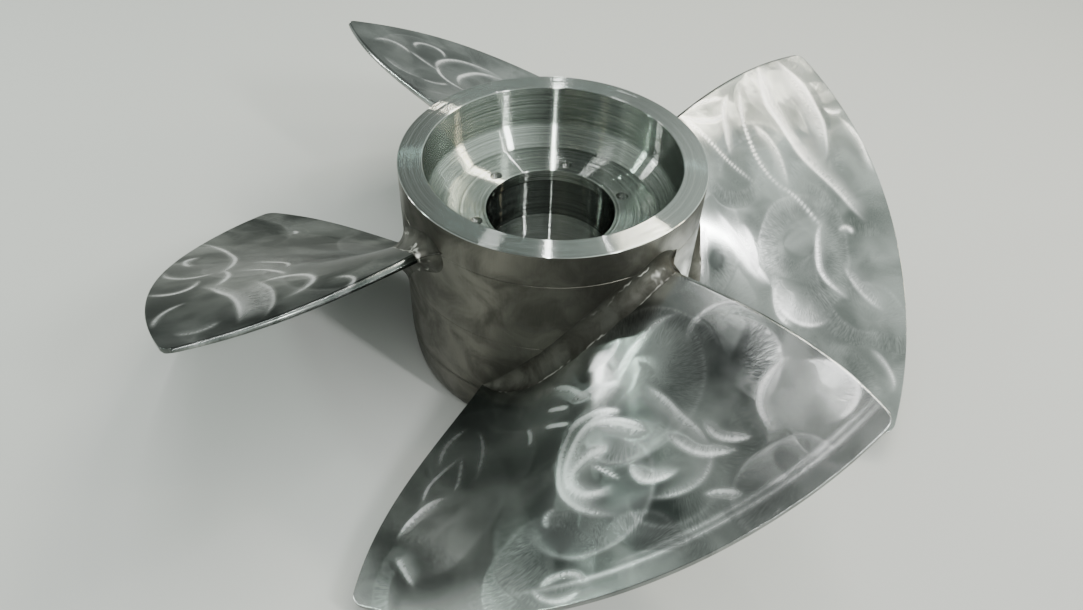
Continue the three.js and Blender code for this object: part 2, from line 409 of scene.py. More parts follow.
def ease(value: Array) -> Array:
    """Smooth step from 0 to 1: t squared times 3 - 2 t, with t held between 0 and 1."""
    held = np.clip(value, 0, 1)
    return held * held * (3 - 2 * held)


def level_place(azimuth: float, radius: float = 1.0) -> Array:
    """Level place at an azimuth in degrees and a distance from the shaft axis."""
    turn = np.radians(azimuth)
    return radius * np.array([np.cos(turn), np.sin(turn)])


# Half the width in millimetres of an arc's painted bright line.
EDGE = 1.1


@dataclass(frozen=True)
class Stroke:
    """One stroke of the grinding disc on a blade, whose arc is painted as a bright highlight with a soft
    side.

    Args:
        lag: degrees of the arc's centre behind the blade's leading tip corner.
        radius: distance of the centre from the shaft axis in millimetres.
        reach: radius of the arc in millimetres.
        facing: direction of the arc's middle in degrees, turned left from straight outwards.
        sweep: half of the arc's angle in degrees.
        glow: brightness of the painted highlight, from 0 to 1.
        soft: width in millimetres over which the arc fades towards its centre, or away from it
            where it is negative.
        dots: spacing in millimetres of the beads that the arc breaks up into, or 0.
        hairy: whether its scratches run across it.
    """

    lag: float
    radius: float
    reach: float
    facing: float
    sweep: float
    glow: float
    soft: float
    dots: float = 0.0
    hairy: bool = True

    def centre(self, azimuth: float) -> Array:
        """Level place in millimetres of the arc's centre, on a blade at this azimuth."""
        return level_place(azimuth - self.lag, self.radius)

    def distance(self, place: Array, azimuth: float) -> Array:
        """Distance in millimetres of level places from the arc's centre."""
        return np.maximum(np.linalg.norm(place - self.centre(azimuth), axis=1), 1e-6)

    def glow_at(self, place: Array, azimuth: float) -> tuple[Array, Array]:
        """Brightness of the arc and the direction from its centre.

        The brightness is a window in the angle from the arc's middle, times the sum of two bell
        curves about the reach: a thin line, and a halo that fades slowly on the soft side. The window
        is full to 0.45 of the sweep and closes at 1.2 times the sweep.

        Args:
            place: level places in millimetres, of shape (n, 2).
            azimuth: azimuth of the blade's leading tip corner in degrees.

        Returns:
            Brightness of shape (n,) and unit directions of shape (n, 2).
        """
        away = place - self.centre(azimuth)
        distance = self.distance(place, azimuth)
        heading = away / distance[:, None]
        facing = level_place(azimuth - self.lag + self.facing)
        angle = np.degrees(np.arccos(np.clip(heading @ facing, -1, 1)))
        window = ease((1.2 * self.sweep - angle) / (0.75 * self.sweep))
        past = (distance - self.reach) * np.sign(self.soft)
        width = np.where(past > 0, 3 * EDGE, 0.8 * abs(self.soft))
        halo, line = np.exp(-(past / width) ** 2), np.exp(-(past / (2 * EDGE)) ** 2)
        glow = self.glow * window * (0.55 * halo + 0.45 * line)
        if self.dots:
            turn = np.arctan2(away[:, 1], away[:, 0]) * self.reach
            glow = glow * (0.35 + 0.65 * ease(0.7 + 1.2 * np.sin(2 * np.pi * turn / self.dots)))
        return glow, heading


@dataclass(frozen=True)
class Patch:
    """A patch of a blade painted brighter than the rest as a highlight, or duller as shade.

    Args:
        lag: degrees of its middle behind the blade's leading tip corner.
        radius: distance of its middle from the shaft axis in millimetres.
        size: distance in millimetres over which it fades.
        shine: what it adds to the shine at its middle, below 0 where it is duller.
    """

    lag: float
    radius: float
    size: float
    shine: float

    def shine_at(self, place: Array, azimuth: float) -> Array:
        """What it adds at level places: a bell curve of the distance from its middle."""
        middle = level_place(azimuth - self.lag, self.radius)
        return self.shine * np.exp(-(np.linalg.norm(place - middle, axis=1) / self.size) ** 2)


@dataclass(frozen=True)
class Grinding:
    """The grinder's marks on one blade, with painted highlights and painted shade, as attributes of its
    mesh.

    "shine" is how bright the sheet is painted: the blade's painted tone, a random waver, and painted bright
    and dull patches; below 0 it is duller than the dull clouds. "glow" is the brightness of the arcs,
    painted as highlights. "lay" points from the centre of the arc that was ground last, which is the way
    the scratches run there, stretched so that one unit is the width of a hair.

    Args:
        azimuth: azimuth of the blade's leading tip corner in degrees.
        strokes: the arcs that stand out, painted as highlights.
        patches: the painted highlights and painted shade.
        shine: painted tone of the whole blade, lighter or darker for the light that it reflects, from 0 to
            1.
        seed: number that fixes the faint arcs between them.
        faint: number of faint arcs.
        hair: width of a hair in millimetres, drawn coarser than the real grit so that it shows.
        wander: how far the hand strays from a true arc, in millimetres.
        wander_length: length in millimetres over which it strays.
        waver: how far the shine wavers.
        waver_length: length in millimetres over which it wavers.
    """

    azimuth: float
    strokes: tuple[Stroke, ...]
    patches: tuple[Patch, ...]
    shine: float
    seed: int
    faint: int = 44
    hair: float = 1.7
    wander: float = 2.5
    wander_length: float = 70.0
    waver: float = 0.1
    waver_length: float = 110.0

    def faint_strokes(self) -> list[Stroke]:
        """Faint arcs at random places, most of them very faint, and three in ten soft outwards.

        Returns:
            The arcs, the same ones for the same seed.
        """
        draw = np.random.default_rng(self.seed)
        rows = draw.uniform(size=(self.faint, 7))
        return [
            Stroke(
                lag=-6 + 76 * a, radius=205 + 315 * b, reach=40 + 60 * c, facing=360 * d,
                sweep=45 + 60 * e, glow=0.02 + 0.16 * f ** 3,
                soft=-(20 + 50 * g) if g < 0.3 else 20 + 50 * g,
            )
            for a, b, c, d, e, f, g in rows
        ]

    def marks(self, points: Array) -> dict[str, Array]:
        """Works out the attributes.

        The glows of the arcs join as 1 - (1 - total)(1 - glow). The lay turns to an arc's own as the
        arc's glow rises to 0.3 of its brightest. The third part of the lay grows by a fifth of the
        distance from the arc's centre, which draws a hair five times as long as it is wide.

        Args:
            points: vertex places in millimetres, of shape (n, 3).

        Returns:
            The attributes by name.
        """
        level = points * (1, 1, 0)
        stray = [ripple(level, self.wander_length, self.seed + number) for number in (0, 1)]
        place = points[:, :2] + self.wander * np.stack(stray, -1)
        total, lay = np.zeros(len(points)), np.pad(place / self.hair, ((0, 0), (0, 1)))
        for one in [*self.faint_strokes(), *self.strokes]:
            glow, heading = one.glow_at(place if one.hairy else points[:, :2], self.azimuth)
            total += (1 - total) * glow
            if one.hairy:
                near = ease(glow / (0.3 * one.glow))[:, None]
                far = (one.reach + one.distance(place, self.azimuth) / 5)[:, None]
                lay = lay * (1 - near) + np.hstack([heading * one.reach, far]) / self.hair * near
        shine = self.shine + self.waver * ripple(level, self.waver_length, self.seed + 2)
        shine = shine + sum(one.shine_at(points[:, :2], self.azimuth) for one in self.patches)
        return {"shine": shine, "glow": total, "lay": lay}


@dataclass(frozen=True)
class SwirlSteel:
    """Stainless sheet ground with a disc: soft clouds of fine scratches under arcs painted as highlights.

    The rim of the disc cuts an arc, painted bright at its edge and fading to one side. The scratches
    beside it run across it, which breaks it up into fine hairs.

    Args:
        name: the material's name.
        pale: colour of the better ground clouds.
        dull: colour of the duller clouds.
        bright: colour of the arcs' painted highlights.
        roughness: mean roughness.
        cloud: size of the clouds in millimetres.
        lean: slope of the scratches, half of it between the arcs and 2.3 times it in them.
        graze: share of the light that is left at a grazing view, where the scratches hide one
        another, as a painted shade in the tint of the reflection. In an arc all of it is left.
        lit_roughness: roughness in an arc.
    """

    name: str
    pale: str = "e2e6e2"
    dull: str = "3c423f"
    bright: str = "ffffff"
    roughness: float = 0.17
    cloud: float = 60.0
    lean: float = 0.12
    graze: float = 0.6
    lit_roughness: float = 0.42

    def material(self) -> bpy.types.Material:
        """Builds the material.

        Returns:
            The material.
        """
        material, tree, shader = new_material(self.name)
        place = add(tree, "TexCoord", output="Object")
        shine = add(tree, "Attribute", attribute_name="shine", output="Fac")
        glow = add(tree, "Attribute", attribute_name="glow", output="Fac")
        lay = add(tree, "Attribute", attribute_name="lay", output="Vector")
        hairs = add(tree, "TexNoise", Vector=lay, Scale=1.0, Detail=2.0, Roughness=0.6)
        clouds = add(
            tree, "TexNoise", Vector=place, Scale=1 / (self.cloud * MM), Detail=2.0, Roughness=0.45,
            Distortion=0.5,
        )
        clouds = add(tree, "MapRange", clouds, 0.3, 0.72, interpolation_type="SMOOTHSTEP")
        contrast = add(tree, "MapRange", hairs, 0.25, 0.75, interpolation_type="SMOOTHSTEP")
        lit = add(tree, "Math", contrast, 0.5, 0.8, operation="MULTIPLY_ADD")
        lit = add(tree, "Math", glow, lit, operation="MULTIPLY")
        lit = add(tree, "Math", lit, 1.0, operation="MINIMUM")
        tone = add(tree, "Math", contrast, 0.1, operation="MULTIPLY")
        tone = add(tree, "Math", clouds, 0.25, tone, operation="MULTIPLY_ADD")
        tone = add(tree, "Math", tone, shine, operation="ADD")
        colour = add(tree, "Mix", tone, linear(self.dull), linear(self.pale), data_type="RGBA")
        dimmed = (self.graze, self.graze, self.graze, 1.0)
        normal = add(tree, "NewGeometry", output="Normal")
        spoke = add(tree, "VectorMath", lay, (1.0, 1.0, 0.0), operation="MULTIPLY")
        spoke = add(tree, "VectorMath", spoke, operation="NORMALIZE")
        around = add(tree, "VectorMath", normal, spoke, operation="CROSS_PRODUCT")
        around = add(tree, "VectorMath", around, operation="NORMALIZE")
        steep = add(tree, "Math", lit, 1.8 * self.lean, 0.5 * self.lean, operation="MULTIPLY_ADD")
        slope = add(tree, "Math", hairs, 0.5, operation="SUBTRACT")
        slope = add(tree, "Math", slope, steep, operation="MULTIPLY")
        tilt = add(tree, "VectorMath", around, slope, operation="SCALE")
        leaning = add(tree, "VectorMath", normal, tilt, operation="ADD")
        # The arcs are painted white in the base colour as highlights, and the grazing tint is dimmed as
        # painted shade.
        feed(shader, {
            "Base Color": add(tree, "Mix", lit, colour, linear(self.bright), data_type="RGBA"),
            "Roughness": add(tree, "Mix", lit, self.roughness, self.lit_roughness),
            "Specular Tint": add(tree, "Mix", lit, dimmed, linear("ffffff"), data_type="RGBA"),
            "Normal": add(tree, "VectorMath", leaning, operation="NORMALIZE"),
            "Tangent": spoke,
            "Anisotropic": 0.5,
            "Anisotropic Rotation": 0.25,
        })
        return material


# The arcs that stand out on each blade, painted as bright highlights, in the order of blade_1 to
# blade_4. A later arc is ground over an earlier one. The numbers are lag, radius, reach, facing, sweep,
# glow, soft and dots.
STROKES = (
    (
        Stroke(10, 599, 198, 177, 26, 1.0, 16), Stroke(160, 1088, 1436, 168, 2.6, 0.8, -18),
        Stroke(5, 337, 144, -13, 34, 0.85, 24), Stroke(13, 472, 134, 176, 36, 0.75, 5, 6),
        Stroke(103, 273, 414, 116, 5, 0.7, 5, 6), Stroke(-9, 915, 659, -172, 6, 0.7, 4, 5),
        Stroke(14, 413, 114, 153, 24, 0.55, 10), Stroke(-12, 326, 86, -123, 24, 0.6, 6),
        Stroke(22, 308, 132, 102, 17, 0.5, 6), Stroke(36, 468, 75, -168, 44, 0.75, 8),
        Stroke(33, 443, 10, 68, 75, 0.8, 6), Stroke(159, 799, 985, 166, 3, 0.95, 12),
        Stroke(39, 251, 53, 21, 34, 1.0, 16), Stroke(37, 286, 65, 178, 23, 0.9, 8),
        Stroke(43, 378, 48, -122, 62, 1.0, 30), Stroke(46, 365, 34, -164, 60, 0.8, 20),
        Stroke(35, 538, 108, -144, 20, 0.5, 18), Stroke(58, 464, 43, 40, 42, 0.45, 8),
        Stroke(10, 506, 16, -110, 55, 0.7, 6), Stroke(21, 380, 138, 11, 18, 0.7, 10),
        Stroke(17, 286, 89, 7, 30, 0.5, 12),
    ),
    (
        Stroke(3, 436, 29, -35, 70, 1, 6), Stroke(38, 621, 331, 143, 5, 0.72, 6),
        Stroke(13, 453, 24, -13, 108, 1, 6), Stroke(23, 371, 80, 30, 55, 1, 9),
        Stroke(17, 368, 42, 109, 52, 0.96, 5), Stroke(31, 338, 100, 51, 41, 1, 7),
        Stroke(6, 357, 32, -176, 42, 0.78, 5), Stroke(8, 390, 64, 119, 34, 0.42, 14),
    ),
    (
        Stroke(8, 585, 162, -175, 25, 1, -16), Stroke(9, 524, 141, 175, 26, 0.8, 46),
        Stroke(31, 571, 139, -157, 38, 0.94, 6), Stroke(23, 504, 78, 179, 28, 0.94, 5),
        Stroke(22, 495, 32, 116, 70, 0.94, 6), Stroke(35, 482, 24, 7, 65, 0.94, 8),
        Stroke(30, 476, 40, 74, 62, 0.72, 5), Stroke(25, 409, 56, -143, 46, 0.8, 4),
        Stroke(15, 452, 95, -147, 27, 0.87, 4), Stroke(9, 373, 41, -166, 95, 1, 7),
        Stroke(0, 323, 20, 170, 75, 0.87, 5), Stroke(7, 463, 52, -39, 36, 0.72, 5),
        Stroke(5, 474, 29, 89, 52, 0.43, 8), Stroke(57, 429, 8, -150, 60, 0.9, 6),
    ),
    (
        Stroke(26, 370, 77, -95, 62, 0.7, 10), Stroke(29, 367, 49, -108, 84, 1.0, 12),
        Stroke(34, 416, 91, 146, 18, 0.5, 14), Stroke(31, 403, 45, -165, 30, 0.5, 10),
        Stroke(38, 430, 72, 134, 15, 0.7, 4, 5), Stroke(23, 398, 26, -44, 66, 0.9, 14),
        Stroke(22, 407, 42, 13, 55, 0.45, 12), Stroke(57, 564, 366, 140, 8, 0.65, 12),
        Stroke(12, 384, 56, -58, 38, 0.85, 12), Stroke(11, 403, 31, -63, 50, 0.75, 10),
        Stroke(3, 440, 47, -143, 54, 0.9, 7), Stroke(2, 444, 35, 63, 85, 0.8, 34),
        Stroke(3, 325, 40, 152, 75, 0.3, 6), Stroke(13, 332, 75, -165, 36, 0.4, 7),
        Stroke(26, 227, 26, 21, 48, 0.8, 14), Stroke(44, 317, 79, 143, 24, 0.6, 16),
        Stroke(54, 311, 59, -107, 32, 0.6, 5), Stroke(68, 343, 84, 122, 26, 0.5, 4),
        Stroke(52, 370, 71, -112, 34, 0.65, 5), Stroke(67, 355, 60, 109, 27, 0.5, 4),
        Stroke(55, 427, 59, -125, 38, 0.7, 16), Stroke(37, 336, 204, -61, 7, 0.6, 18),
        Stroke(32, 361, 53, 172, 32, 1.0, 10), Stroke(50, 307, 35, 103, 21, 0.8, 3),
        Stroke(40, 337, 42, 162, 20, 0.9, 4), Stroke(41, 353, 81, 166, 10, 0.9, 5),
        Stroke(31, 328, 54, 165, 28, 0.6, 12), Stroke(32, 382, 26, -98, 115, 1.0, -10),
        Stroke(32, 395, 71, 158, 33, 0.7, 5), Stroke(38, 513, 30, 172, 55, 0.5, 6),
        Stroke(38, 479, 34, -15, 48, 0.45, 6), Stroke(38, 420, 15, -116, 60, 0.35, 6),
        Stroke(21, 506, 44, 149, 25, 0.55, 10),
        # The smooth band along the tip and the two fine lines at its inner edge, painted brighter as
        # highlights.
        Stroke(0, 0, 522, -22, 30, 0.06, 24, hairy=False),
        Stroke(0, 0, 497, -20, 24, 0.35, 3, hairy=False),
        Stroke(0, 0, 490, -14, 17, 0.3, -4, hairy=False),
    ),
)


# The painted highlights and painted shade on each blade, in the same order, brighter where the shine
# is above 0 and duller below. The numbers are lag, radius, size and shine.
PATCHES = (
    (
        Patch(46, 290, 32, 0.3), Patch(49, 345, 30, 0.4), Patch(28, 310, 45, -0.2),
        Patch(-1, 290, 40, -0.2), Patch(38, 245, 16, -0.4), Patch(20, 410, 40, 0.15),
        Patch(35, 420, 40, -0.1),
    ),
    (Patch(22, 350, 70, 0.1),),
    (Patch(58, 350, 60, -0.12),),
    (
        Patch(2, 350, 48, -0.4), Patch(24, 355, 42, -0.4), Patch(29, 400, 38, -0.35),
        Patch(28, 455, 45, -0.35), Patch(38, 444, 38, -0.35), Patch(41, 272, 32, 0.6),
        Patch(44, 310, 30, 0.35), Patch(33, 252, 26, 0.3), Patch(0, 455, 28, 0.5),
        Patch(8, 465, 35, 0.15), Patch(50, 395, 60, 0.25), Patch(60, 350, 60, 0.1),
    ),
)


def dress(
    piece: bpy.types.Object, node: str, slot: Slot, material: bpy.types.Material,
    *inner: tuple[bpy.types.Material, Callable[[Array], Array]],
) -> None:
    """Puts a finished piece in the place of its CAD node.

    Args:
        piece: the piece, with its place in its mesh.
        node: the CAD node that it stands for.
        slot: the record's slot of its finish; not used.
        material: its material.
        *inner: further materials, each with the rule that picks its faces by their centres in
            millimetres.
    """
    piece.data.materials.append(material)
    mesh = piece.data
    centre, chosen = np.zeros(3 * len(mesh.polygons)), np.zeros(len(mesh.polygons), dtype=np.int32)
    mesh.polygons.foreach_get("center", centre)
    for number, (other, picks) in enumerate(inner, 1):
        mesh.materials.append(other)
        chosen[picks(centre.reshape(-1, 3) / MM)] = number
    mesh.polygons.foreach_set("material_index", chosen)
    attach(piece, "root")
    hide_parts(node)
    log.info("%s: %d faces for %s", piece.name, len(piece.data.polygons), node)


@dataclass(frozen=True)
class Hub:
    """The turned hub: rim ring with the recess, flange with the bore lip, sleeve, bands and nose.

    Sizes are in millimetres, and depths are measured down from the rim. An edge is the radius of a
    rounded corner. The seam is half the gap at a turned line. The slack is how far off a surface
    the centre of one of its faces may lie.
    """

    radius: float = 200.0
    height: float = 320.0
    segments: int = 288
    edge: float = 1.2
    line_edge: float = 0.8
    faint_edge: float = 0.45
    small_edge: float = 0.3
    hidden_edge: float = 0.2
    fine_edge: float = 0.1
    mouth_edge: float = 1.5
    foot_edge: float = 0.5
    seam: float = 0.1
    slack: float = 0.5
    upper_line: float = 46.0
    middle_line: float = 153.0
    lower_line: float = 254.0
    nose_radius: float = 190.0
    nose_start: float = 0.12
    nose_points: int = 28
    recess_radius: float = 168.0
    recess_wall: float = 60.0
    wall_bend: float = 14.0
    recess_depth: float = 86.0
    floor_radius: float = 146.0
    spigot: float = 14.0
    flange: float = 32.0
    lip_radius: float = 88.0
    lip_height: float = 17.0
    bore_radius: float = 91.0
    sleeve: float = 20.0
    # Below this depth the bore is painted pale as if lit, and above it dark as shade; the small step in its
    # radius is the edge between them.
    painted_light_depth: float = 168.0
    step_at_painted_light: float = 0.4

    def up(self, depth: float) -> float:
        """Height above the lower face of a depth below the rim."""
        return self.height - depth

    def ring(self, name: str, outline: Array) -> bpy.types.Object:
        """Turns a closed outline into a ring.

        Args:
            name: the ring's name.
            outline: radius and height in millimetres, of shape (n, 2).

        Returns:
            The ring.
        """
        rings = revolve(outline, self.segments)
        faces = grid_faces(rings.shape[0], rings.shape[1], wrap_rows=True, wrap_columns=True)
        return mesh_object(name, rings.reshape(-1, 3), faces)

    def rim_ring(self) -> bpy.types.Object:
        """Rim, straight wall and cone of the recess, down to the recess floor.

        Returns:
            The ring.
        """
        floor, line = self.up(self.recess_depth), self.up(self.upper_line) + self.seam
        spigot = self.recess_radius + self.spigot
        return self.ring("rim_ring", softened([
            (self.radius, self.height, self.edge),
            (self.radius, line, self.line_edge),
            (spigot, line, self.hidden_edge),
            (spigot, floor, self.hidden_edge),
            (self.floor_radius, floor, self.small_edge),
            (self.recess_radius, self.up(self.recess_wall), self.wall_bend),
            (self.recess_radius, self.height, self.edge),
        ]))

    def upper_band(self) -> bpy.types.Object:
        """Outside of the hub between the first two lines, stepped round the flange.

        Returns:
            The ring.
        """
        high, low = self.up(self.upper_line) - self.seam, self.up(self.middle_line) + self.seam
        seat, pocket = self.bore_radius + self.sleeve, self.recess_radius + self.spigot
        step = self.up(self.recess_depth + self.flange)
        return self.ring("upper_band", softened([
            (self.radius, high, self.line_edge),
            (self.radius, low, self.faint_edge),
            (seat, low, self.hidden_edge),
            (seat, step, self.hidden_edge),
            (pocket, step, self.hidden_edge),
            (pocket, high, self.hidden_edge),
        ]))

    def lower_band(self) -> bpy.types.Object:
        """Outside of the hub between the last two lines.

        Returns:
            The ring.
        """
        high, low = self.up(self.middle_line) - self.seam, self.up(self.lower_line) + self.seam
        seat = self.bore_radius + self.sleeve
        return self.ring("lower_band", softened([
            (self.radius, high, self.faint_edge),
            (self.radius, low, self.faint_edge),
            (seat, low, self.hidden_edge),
            (seat, high, self.hidden_edge),
        ]))

    def nose(self) -> bpy.types.Object:
        """Lower end of the hub, drawn in along nearly a quarter of an ellipse.

        At the angle a the radius is the nose's plus the draw times cos a, and the height is that of
        the line times 1 - sin a.

        Returns:
            The ring.
        """
        top = self.up(self.lower_line) - self.seam
        angle = np.linspace(self.nose_start, np.pi / 2, self.nose_points)
        draw = self.radius - self.nose_radius
        arc = np.stack([self.nose_radius + draw * np.cos(angle), top * (1 - np.sin(angle))], -1)
        seat = self.bore_radius + self.sleeve
        inner = softened([
            (seat, 0.0, self.small_edge),
            (seat, top, self.small_edge),
            (self.radius, top, self.faint_edge),
        ])
        return self.ring("nose_ring", np.concatenate([arc, inner]))

    def bore(self) -> bpy.types.Object:
        """Sleeve that lines the bore from the flange down to the lower face.

        Returns:
            The ring.
        """
        top, outside = self.up(self.recess_depth + self.flange), self.bore_radius + self.sleeve
        step, painted_lit_bore = self.up(self.painted_light_depth), self.bore_radius - self.step_at_painted_light
        return self.ring("bore_sleeve_turned", softened([
            (outside, 0.0, self.foot_edge),
            (painted_lit_bore, 0.0, self.mouth_edge),
            (painted_lit_bore, step, self.fine_edge),
            (self.bore_radius, step, self.fine_edge),
            (self.bore_radius, top, self.fine_edge),
            (outside, top, self.small_edge),
        ]))

    def in_bore(self, centre: Array, depth: float) -> Array:
        """Picks the places on the wall of the bore below a depth."""
        near = np.hypot(centre[:, 0], centre[:, 1]) < self.bore_radius + self.slack
        return near & (centre[:, 2] < self.up(depth))

    def on_wall(self, centre: Array) -> Array:
        """Picks the places on the straight wall and the cone of the recess."""
        inside = np.hypot(centre[:, 0], centre[:, 1]) < self.recess_radius + self.small_edge
        return inside & (centre[:, 2] > self.up(self.recess_depth) + self.slack)

    def on_outside(self, centre: Array) -> Array:
        """Picks the places on the hub's outside."""
        return np.hypot(centre[:, 0], centre[:, 1]) > self.radius - self.hidden_edge

    def build(
        self, turned: TurnedSteel, wall: TurnedSteel, dark: TurnedSteel, painted_lit_bore: TurnedSteel,
        painted_dark_outside: CloudySteel, thread: CloudySteel,
    ) -> None:
        """Makes the hub's pieces and dresses them.

        Args:
            turned: finish of the rim.
            wall: finish of the recess's straight wall, cone and floor.
            dark: finish of the bore's upper part, the bored steel painted dark as shade.
            painted_lit_bore: finish of the bore's lower part, the same bored steel painted pale as if lit.
            painted_dark_outside: finish of the outside, painted dark as a reflection of dark surroundings,
                over clouds of tone.
            thread: finish inside the tapped holes.
        """
        bright, upright, shaded, pale, outside, tapped = (
            finish.material() for finish in (turned, wall, dark, painted_lit_bore, painted_dark_outside, thread)
        )
        flange = Flange(self)
        dress(
            self.rim_ring(), "hub_rim_ring", Slot.TURNED, bright,
            (outside, self.on_outside),
            (upright, self.on_wall),
        )
        # The bore's wall under the lip and down to the step is painted dark as shade, and below the step
        # pale as if lit.
        dress(
            flange.build_mesh(), "shaft_flange", Slot.TURNED, upright,
            (tapped, flange.in_hole),
            (shaded, lambda centre: self.in_bore(centre, self.recess_depth + self.lip_height)),
        )
        dress(
            self.bore(), "bore_sleeve", Slot.BORE, shaded,
            (pale, lambda centre: self.in_bore(centre, self.painted_light_depth)),
        )
        dress(self.upper_band(), "hub_upper_band", Slot.HUB, outside)
        dress(self.lower_band(), "hub_lower_band", Slot.HUB, outside)
        dress(self.nose(), "hub_nose_ring", Slot.HUB, outside)


@dataclass(frozen=True)
class Flange:
    """The recess floor: a ring with a bore lip and tapped blind holes.

    Sizes are in millimetres and angles in degrees.
    """

    hub: Hub
    holes: int = 6
    hole_circle: float = 104.5
    first_hole: float = 19.4
    mouth_radius: float = 8.8
    mouth_depth: float = 0.4
    thread_radius: float = 7.4
    thread_depth: float = 1.0
    pitch: float = 2.0
    turns: float = 12.0
    turn_points: int = 6
    countersink: float = 1.6
    drill_point: float = 3.0
    lip_edge: float = 0.8
    lip_foot_edge: float = 0.6
    inner: float = 90.0
    outer: float = 122.0
    arc_points: int = 24
    side_points: int = 8

    def sector_rim(self) -> Array:
        """Outline of one hole's share of the floor: inner arc, side, outer arc and side.

        Returns:
            Level places in millimetres about azimuth 0, of shape (n, 2).
        """
        half = np.pi / self.holes
        sweep = np.linspace(-half, half, self.arc_points + 1)[:-1]
        rise = np.linspace(self.inner, self.outer, self.side_points + 1)[:-1]
        fall = rise[::-1] + rise[1] - rise[0]
        angle = np.concatenate([sweep, np.full(rise.shape, half), -sweep, np.full(fall.shape, -half)])
        radius = np.concatenate([
            np.full(sweep.shape, self.inner), rise, np.full(sweep.shape, self.outer), fall,
        ])
        return np.stack([radius * np.cos(angle), radius * np.sin(angle)], -1)

    def hole_patch(self) -> Array:
        """One hole and the floor round it, as rows of points from the sector's rim to the bottom.

        The first rows go straight from the rim of the sector to just outside the mouth. Then comes a
        countersink, and then the thread, whose radius at depth d and angle a is the thread's radius
        plus half its depth times a triangle wave of d / pitch + a / turn. The last row is the centre
        of the bottom.

        Returns:
            Places of shape (rows, n, 3), for a hole at azimuth 0.
        """
        rim = self.sector_rim()
        floor = self.hub.up(self.hub.recess_depth)
        centre = np.array([self.hole_circle, 0.0])
        angle = np.arctan2(rim[:, 1], rim[:, 0] - self.hole_circle)
        heading = np.stack([np.cos(angle), np.sin(angle)], -1)
        mouth = centre + heading * (self.mouth_radius + 0.3)
        share = np.array([0, 0.2, 0.45, 0.7, 0.9, 1.0])[:, None, None]
        flat = rim * (1 - share) + mouth * share
        level = np.full(flat.shape[:2] + (1,), floor)
        rows = [np.concatenate([flat, level], -1)]
        steps = int(self.turns * self.turn_points)
        depth = np.linspace(self.countersink, self.countersink + self.turns * self.pitch, steps)[:, None]
        phase = (depth / self.pitch + angle / (2 * np.pi)) % 1
        wave = np.abs(phase - 0.5) * 4 - 1
        run_in = np.clip((depth - self.countersink) / self.pitch, 0, 1)
        thread = self.thread_radius + 0.5 * self.thread_depth * (wave * run_in + 1 - run_in)
        # Radius and depth of the rows of the countersink.
        cut = np.array([
            (self.mouth_radius + 0.1, 0.0), (self.mouth_radius, 0.15), (self.thread_radius + 0.6, 1.3),
        ])
        point = np.zeros((1, angle.size))
        radius = np.concatenate([cut[:, :1] + 0 * angle, thread, point])
        below = np.concatenate([cut[:, 1:], depth, depth[-1:] + self.drill_point]) + 0 * angle
        shaft = centre + radius[..., None] * heading
        rows.append(np.concatenate([shaft, (floor - below)[..., None]], -1))
        return np.concatenate(rows)

    def in_hole(self, centre: Array) -> Array:
        """Picks the places below the mouths of the tapped holes.

        Args:
            centre: places in millimetres, of shape (n, 3).

        Returns:
            True where a place is in a hole, of shape (n,).
        """
        off = abs(np.hypot(centre[:, 0], centre[:, 1]) - self.hole_circle)
        depth = self.hub.up(self.hub.recess_depth) - centre[:, 2]
        inside = (depth > self.mouth_depth) & (depth < self.hub.flange - self.hub.slack)
        return inside & (off < self.mouth_radius)

    def build_mesh(self) -> bpy.types.Object:
        """Joins the patches of the holes to the turned rest of the flange.

        Returns:
            The flange.
        """
        hub = self.hub
        floor = hub.up(hub.recess_depth)
        under = floor - hub.flange
        spigot = hub.recess_radius + hub.spigot
        turned = softened([
            (spigot, floor, hub.small_edge),
            (spigot, under, hub.small_edge),
            (hub.bore_radius, under, hub.fine_edge),
            (hub.bore_radius, floor - hub.lip_height, hub.small_edge),
            (hub.lip_radius, floor - hub.lip_height, self.lip_foot_edge),
            (hub.lip_radius, floor, self.lip_edge),
        ])
        profile = np.concatenate([[[self.outer, floor]], turned, [[self.inner, floor]]])
        segments = self.arc_points * self.holes
        first = self.first_hole - 180 / self.holes
        ring = revolve(profile, segments, first)
        points = [ring.reshape(-1, 3)]
        faces = [grid_faces(ring.shape[0], segments, wrap_columns=True)]
        patch = self.hole_patch()
        rows, columns = patch.shape[:2]
        for hole in range(self.holes):
            turn = Matrix.Rotation(np.radians(self.first_hole + 360 * hole / self.holes), 3, "Z")
            faces.append(grid_faces(rows, columns, wrap_columns=True) + sum(len(p) for p in points))
            points.append(patch.reshape(-1, 3) @ np.array(turn).T)
        return mesh_object("tapped_flange", np.concatenate(points), np.concatenate(faces))


@dataclass(frozen=True)
class Curve:
    """A value that changes along the span as root + slope s + curve s squared."""

    root: float
    slope: float
    curve: float = 0.0

    def __call__(self, span: Array) -> Array:
        """Value at a share of the span."""
        return self.root + self.slope * span + self.curve * span ** 2


